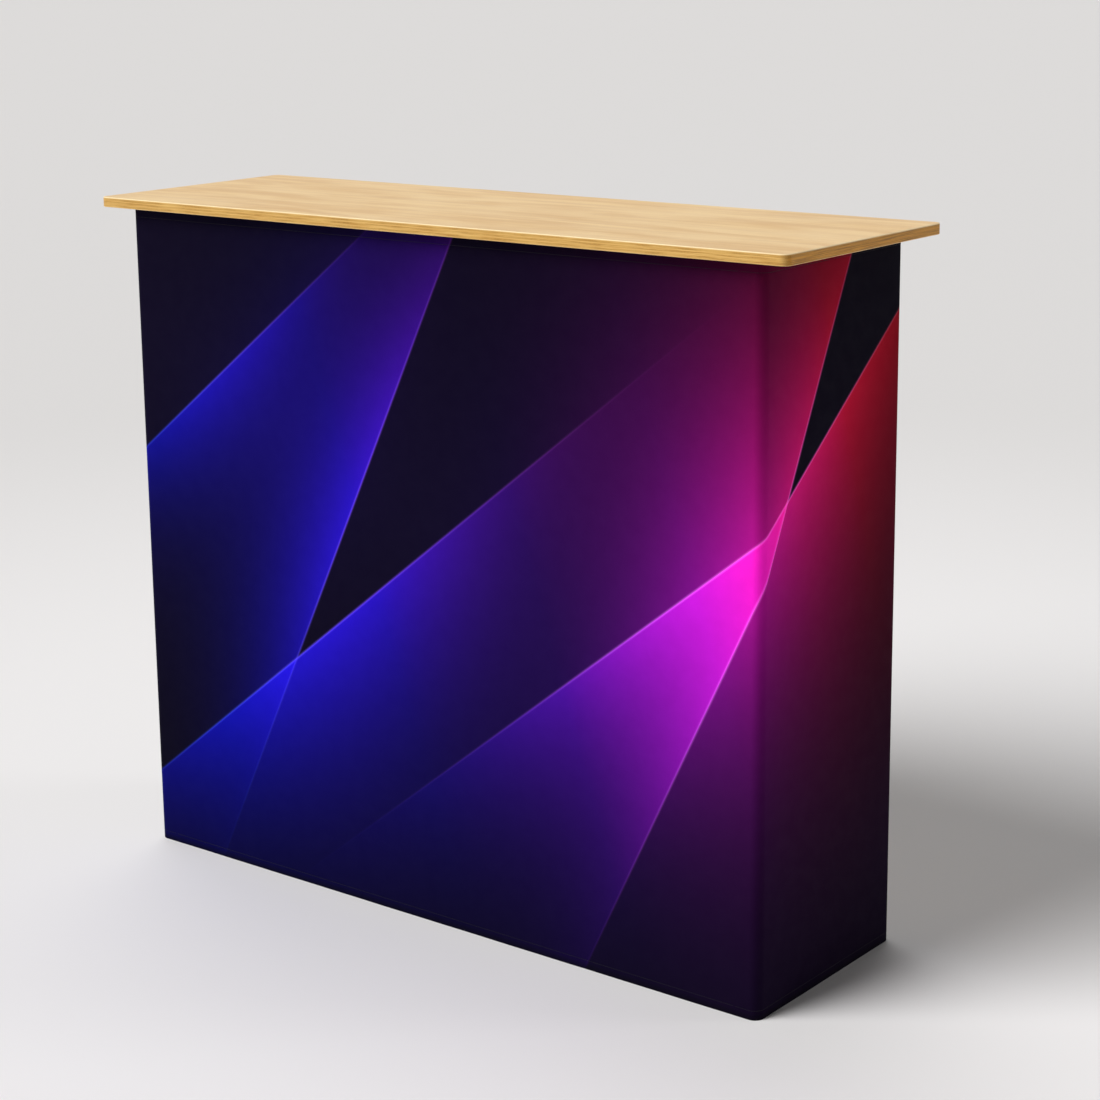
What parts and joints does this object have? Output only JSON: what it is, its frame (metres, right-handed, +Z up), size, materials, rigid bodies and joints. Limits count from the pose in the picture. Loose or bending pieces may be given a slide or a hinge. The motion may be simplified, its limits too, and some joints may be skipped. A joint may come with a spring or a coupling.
{
  "type": "display counter",
  "caption": "Free-standing folding display counter: plywood worktop on a hinged aluminium frame wrapped in stretched printed fabric, open at the back with a folding shelf.",
  "frame": {"origin": "middle of the footprint, on the floor", "axes": "+X along the width to the right as seen from the front, +Y towards the open back, +Z up"},
  "size_m": [1.215, 0.382, 1.015],
  "materials": {
    "printed_fabric": "matte dye-printed knitted polyester",
    "worktop_plywood": "satin clear lacquer",
    "shelf_plywood": "clear sealed",
    "frame_aluminium": "satin anodised",
    "stay_aluminium": "brushed anodised",
    "rivet_steel": "zinc plated",
    "black_plastic": "moulded, fine texture",
    "hook_tape": "woven hook tape",
    "loop_pad": "brushed loop tape"
  },
  "bodies": {
    "left_end": {"fabric_wrap": "printed_fabric", "left_bottom_rail": "frame_aluminium", "left_bracket_rivets": "rivet_steel", "left_brackets": "stay_aluminium", "left_foot_glides": "black_plastic", "left_front_post": "frame_aluminium", "left_hook_pads": "hook_tape", "left_hook_tapes": "hook_tape", "left_pivot_rivets": "rivet_steel", "left_post_caps": "black_plastic", "left_rear_post": "frame_aluminium", "left_shelf_rail": "frame_aluminium", "left_top_rail": "frame_aluminium"},
    "front_bottom_left": {"front_bottom_centre_rivet": "rivet_steel", "front_bottom_left_stay": "stay_aluminium"},
    "front_bottom_right": {"front_bottom_right_stay": "stay_aluminium"},
    "front_top_left": {"front_top_centre_rivet": "rivet_steel", "front_top_left_stay": "stay_aluminium"},
    "front_top_right": {"front_top_right_stay": "stay_aluminium"},
    "rear_top_left": {"rear_top_centre_rivet": "rivet_steel", "rear_top_left_stay": "stay_aluminium"},
    "rear_top_right": {"rear_top_right_stay": "stay_aluminium"},
    "right_end": {"right_bottom_rail": "frame_aluminium", "right_bracket_rivets": "rivet_steel", "right_brackets": "stay_aluminium", "right_foot_glides": "black_plastic", "right_front_post": "frame_aluminium", "right_hook_pads": "hook_tape", "right_hook_tapes": "hook_tape", "right_pivot_rivets": "rivet_steel", "right_post_caps": "black_plastic", "right_rear_post": "frame_aluminium", "right_shelf_rail": "frame_aluminium", "right_top_rail": "frame_aluminium"},
    "shelf_left": {"shelf_centre_rivets": "rivet_steel", "shelf_left_angle_rivets": "rivet_steel", "shelf_left_angles": "stay_aluminium", "shelf_left_board": "shelf_plywood", "shelf_left_screws": "rivet_steel", "shelf_left_stays": "stay_aluminium"},
    "shelf_right": {"shelf_right_angle_rivets": "rivet_steel", "shelf_right_angles": "stay_aluminium", "shelf_right_board": "shelf_plywood", "shelf_right_screws": "rivet_steel", "shelf_right_stays": "stay_aluminium"},
    "worktop": {"worktop_board": "worktop_plywood", "worktop_loop_pads": "loop_pad"}
  },
  "joints": [
    {"name": "fold", "type": "hinge", "parent": "left_end", "child": "shelf_left", "pos_m": [-0.4992, 0, 0.48], "axis": [0, -1, 0], "range_deg": [0, 80]},
    {"name": "shelf_middle", "type": "hinge", "parent": "shelf_left", "child": "shelf_right", "pos_m": [0, 0, 0.48], "axis": [0, -1, 0], "range_deg": [-160, 0]},
    {"name": "right_end_pivot", "type": "hinge", "parent": "shelf_right", "child": "right_end", "pos_m": [0.4992, 0, 0.48], "axis": [0, -1, 0], "range_deg": [0, 80]},
    {"name": "front_top_end", "type": "hinge", "parent": "left_end", "child": "front_top_left", "pos_m": [-0.4992, -0.16075, 0.965], "axis": [0, 1, 0], "range_deg": [0, 80]},
    {"name": "front_top_middle", "type": "hinge", "parent": "front_top_left", "child": "front_top_right", "pos_m": [0, -0.16075, 0.965], "axis": [0, 1, 0], "range_deg": [-160, 0]},
    {"name": "rear_top_end", "type": "hinge", "parent": "left_end", "child": "rear_top_left", "pos_m": [-0.4992, 0.16075, 0.965], "axis": [0, 1, 0], "range_deg": [0, 80]},
    {"name": "rear_top_middle", "type": "hinge", "parent": "rear_top_left", "child": "rear_top_right", "pos_m": [0, 0.16075, 0.965], "axis": [0, 1, 0], "range_deg": [-160, 0]},
    {"name": "front_bottom_end", "type": "hinge", "parent": "left_end", "child": "front_bottom_left", "pos_m": [-0.4992, -0.14475, 0.035], "axis": [0, -1, 0], "range_deg": [0, 80]},
    {"name": "front_bottom_middle", "type": "hinge", "parent": "front_bottom_left", "child": "front_bottom_right", "pos_m": [0, -0.14475, 0.035], "axis": [0, -1, 0], "range_deg": [-160, 0]},
    {"name": "worktop_lift", "type": "slide", "parent": "left_end", "child": "worktop", "axis": [0, 0, 1], "range_m": [0, 0.3]}
  ],
  "couplings": [
    {"joint": "shelf_middle", "follows": "fold", "ratio": -2},
    {"joint": "right_end_pivot", "follows": "fold", "ratio": 1},
    {"joint": "front_top_end", "follows": "fold", "ratio": 1},
    {"joint": "front_top_middle", "follows": "fold", "ratio": -2},
    {"joint": "rear_top_end", "follows": "fold", "ratio": 1},
    {"joint": "rear_top_middle", "follows": "fold", "ratio": -2},
    {"joint": "front_bottom_end", "follows": "fold", "ratio": 1},
    {"joint": "front_bottom_middle", "follows": "fold", "ratio": -2}
  ]
}
